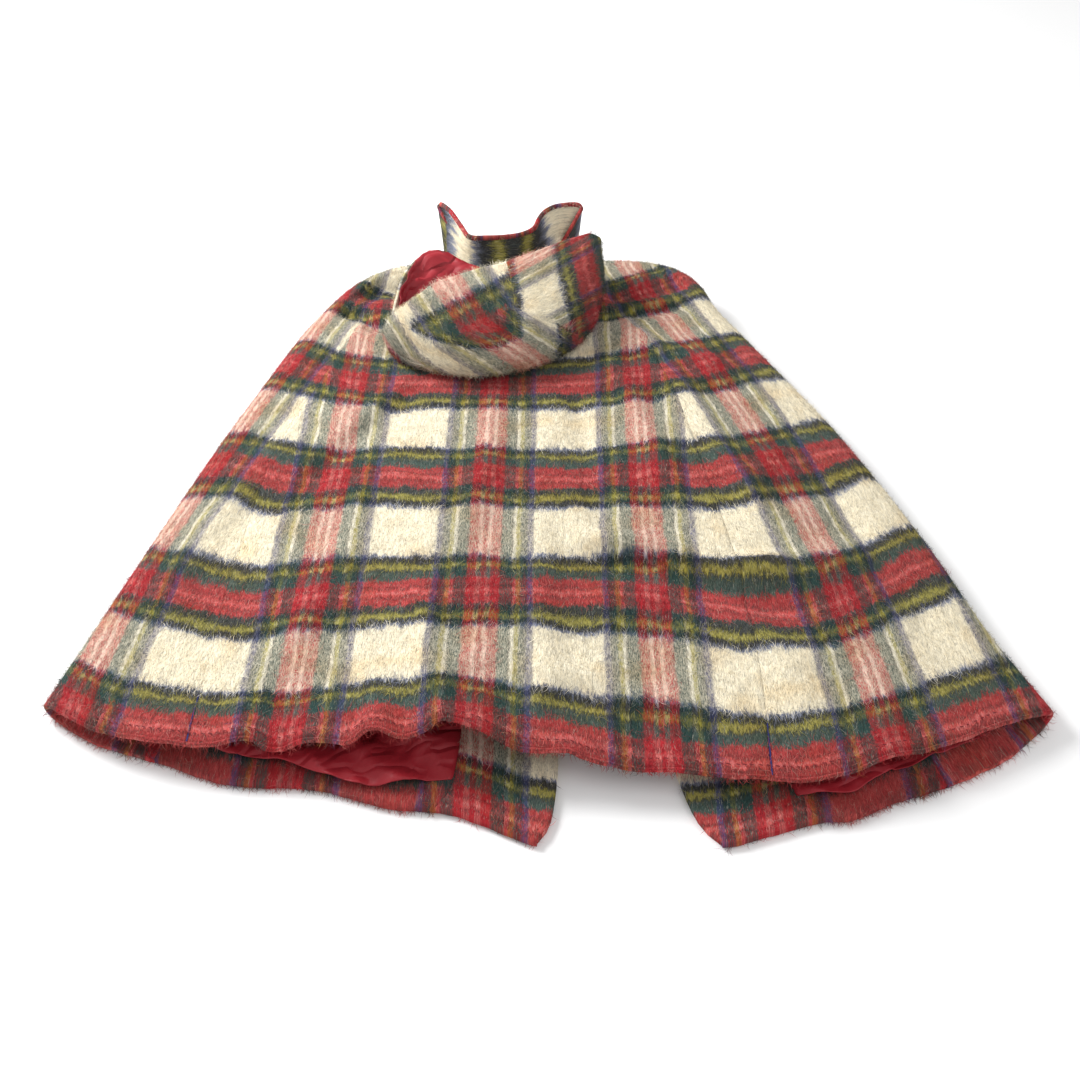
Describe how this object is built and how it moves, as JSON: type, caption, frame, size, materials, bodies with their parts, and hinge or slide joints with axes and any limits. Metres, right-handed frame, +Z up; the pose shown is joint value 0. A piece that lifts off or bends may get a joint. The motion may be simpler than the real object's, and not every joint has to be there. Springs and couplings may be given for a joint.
{
  "type": "hooded cape",
  "caption": "Hooded wool plaid cape with a stand collar and red linings, lying flat and face down with its back up.",
  "frame": {"origin": "on the surface that the cape lies on, below the middle of its box", "axes": "+X to the viewer's right across the hem, +Y from the hem towards the collar, +Z up"},
  "size_m": [0.921, 0.8936, 0.1164],
  "materials": {
    "plaid_cream": "brushed mohair plaid, mostly cream",
    "plaid_red": "brushed mohair plaid, mostly red",
    "plaid_green": "brushed mohair plaid, mostly green",
    "red_lining": "smooth twill lining with a soft sheen"
  },
  "bodies": {
    "root": {"back": "plaid_cream", "side_left": "plaid_red", "side_right": "plaid_red", "front_left": "plaid_red", "front_right": "plaid_red", "facing_left": "plaid_green", "facing_right": "plaid_green", "hem_back": "plaid_green", "hem_side_left": "plaid_green", "hem_side_right": "plaid_green", "hem_front_left": "plaid_green", "hem_front_right": "plaid_green", "lining_left": "red_lining", "lining_right": "red_lining", "hood_lining": "red_lining", "hood_left": "plaid_red", "hood_right": "plaid_cream", "collar": "plaid_green"}
  },
  "joints": []
}
